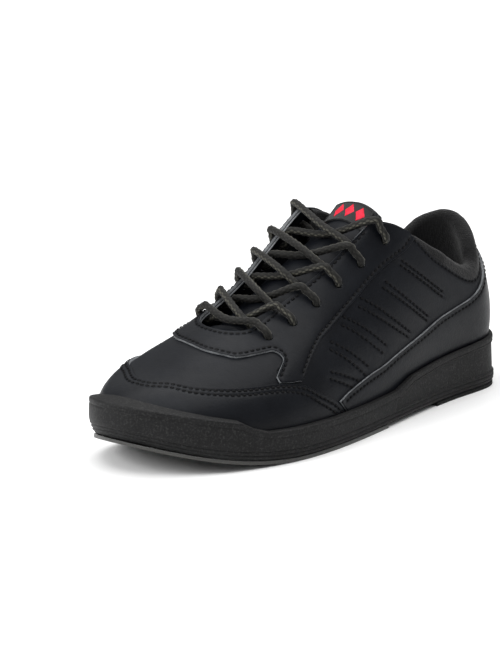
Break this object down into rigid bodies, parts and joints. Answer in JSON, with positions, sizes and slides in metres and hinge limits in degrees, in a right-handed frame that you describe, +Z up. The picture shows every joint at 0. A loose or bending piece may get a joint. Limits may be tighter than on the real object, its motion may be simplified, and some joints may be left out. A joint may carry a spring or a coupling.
{
  "type": "bowling shoe",
  "caption": "Left bowling shoe with a moulded cup sole, slide pad, stitched leather upper with saddle overlay, padded knit collar and laced tongue.",
  "frame": {"origin": "centre of the footprint, on the ground under the sole", "axes": "+X from heel to toe, +Y to the outer side of the left foot, +Z up"},
  "size_m": [0.3, 0.1074, 0.1215],
  "materials": {
    "leather": "smooth full-grain, satin, with a soft sheen",
    "overlay_leather": "smooth full-grain, satin, light grey cut edges and rows of stitching",
    "rubber": "moulded, matt, fine pebble texture",
    "slide_microfibre": "brushed microfibre slide pad, pale grey",
    "tread_rubber": "moulded, matt",
    "foam": "closed-cell foam, grey, hidden",
    "shank_steel": "plain spring steel strip, hidden",
    "fibre_board": "pressed fibre board, brown, hidden",
    "sock_fabric": "brushed knit, near black",
    "lining_fabric": "woven mesh, near black",
    "collar_knit": "looped knit, fuzzy, black",
    "label_weave": "woven patch, black with a plain red motif",
    "lace_braid": "round braid, black with a faint olive cast",
    "aglet_plastic": "clear-grey crimped film"
  },
  "bodies": {
    "shoe": {"aglet_inner": "aglet_plastic", "aglet_outer": "aglet_plastic", "collar_foam": "foam", "collar_lining": "collar_knit", "collar_panel_inner": "overlay_leather", "cupsole": "rubber", "heel_counter": "fibre_board", "heel_foxing_inner": "overlay_leather", "heel_foxing_outer": "overlay_leather", "heel_tread": "tread_rubber", "insole_board": "fibre_board", "lace": "lace_braid", "lace_end_inner": "lace_braid", "lace_end_outer": "lace_braid", "midsole_filler": "foam", "quarter_inner": "leather", "quarter_outer": "leather", "saddle_eyestay": "overlay_leather", "shank": "shank_steel", "slide_sole_pad": "slide_microfibre", "toe_cap": "overlay_leather", "toe_puff": "fibre_board", "vamp": "leather", "vamp_lining": "lining_fabric"},
    "tongue": {"tongue_shell": "leather", "tongue_foam": "foam", "tongue_lining": "lining_fabric", "tongue_label": "label_weave"},
    "sock_liner": {"sock_liner": "sock_fabric"}
  },
  "joints": [
    {"name": "tongue_flex", "type": "hinge", "parent": "shoe", "child": "tongue", "pos_m": [0.0744, -0.01018, 0.05776], "axis": [0, 1, 0], "range_deg": [-4, 0], "stiffness_Nm_per_rad": 0.8},
    {"name": "insole_lift", "type": "hinge", "parent": "shoe", "child": "sock_liner", "pos_m": [0.129, -0.00108, 0.02534], "axis": [0, 1, 0], "range_deg": [0, 2]}
  ]
}
